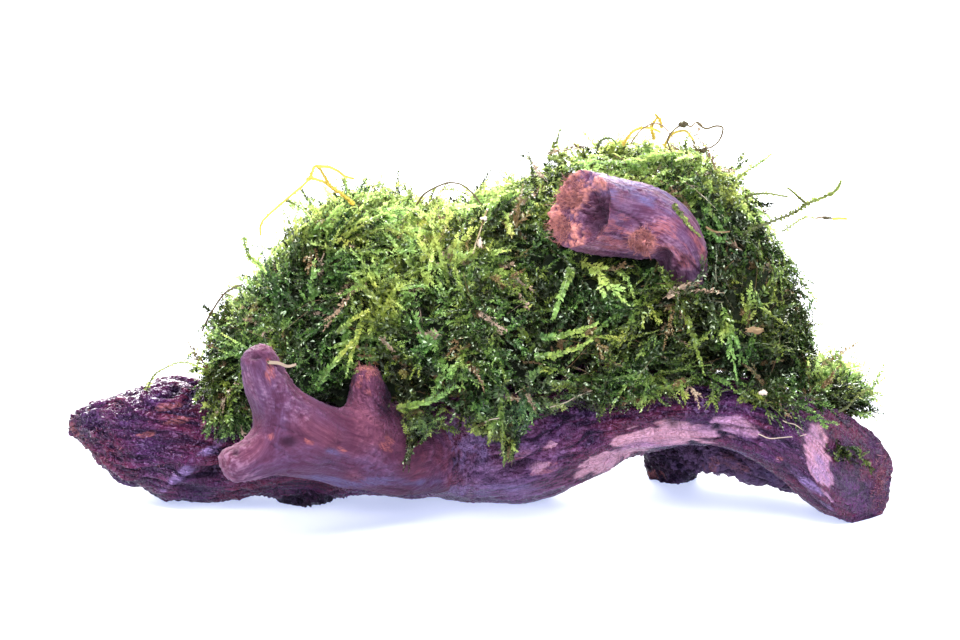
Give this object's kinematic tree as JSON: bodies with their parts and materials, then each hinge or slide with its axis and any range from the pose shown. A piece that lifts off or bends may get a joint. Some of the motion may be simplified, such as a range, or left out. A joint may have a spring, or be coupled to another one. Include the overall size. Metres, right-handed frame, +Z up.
{
  "type": "java moss on driftwood",
  "caption": "Natural piece of forked, arched driftwood covered with a mat of java moss; it rests on its limbs, open beneath the arch.",
  "frame": {"origin": "middle of the footprint, on the surface that the driftwood stands on", "axes": "+X along the driftwood towards its sliced foot, +Y away from the side that the fork reaches out on, +Z up"},
  "size_m": [0.2028, 0.0886, 0.0873],
  "materials": {
    "wet_wood": "wet, dark plum brown, grooved along its grain, with bare tan patches",
    "smooth_branch": "damp, dusty reddish brown, worn smooth, with fine grain",
    "dark_bark": "wet, nearly black, rough and bark-like",
    "bright_moss": "wet leafy moss shoots, mid green to yellow green",
    "deep_moss": "wet leafy moss shoots, dark green with brown old stems"
  },
  "bodies": {
    "root": {"driftwood_trunk": "wet_wood", "driftwood_left_limb": "wet_wood", "driftwood_arch": "wet_wood", "driftwood_rear_limb": "dark_bark", "driftwood_rear_leg": "dark_bark", "driftwood_root_knob": "dark_bark", "driftwood_upper_branch": "smooth_branch", "driftwood_fork_beam": "smooth_branch", "driftwood_fork_upper_prong": "smooth_branch", "driftwood_fork_lower_prong": "smooth_branch", "driftwood_fork_side_stub": "smooth_branch", "moss_left_mound": "bright_moss", "moss_right_mound": "bright_moss", "moss_toe": "bright_moss", "moss_left_drape": "bright_moss", "moss_front_tuft_left": "deep_moss", "moss_front_tuft_right": "deep_moss"}
  },
  "joints": []
}
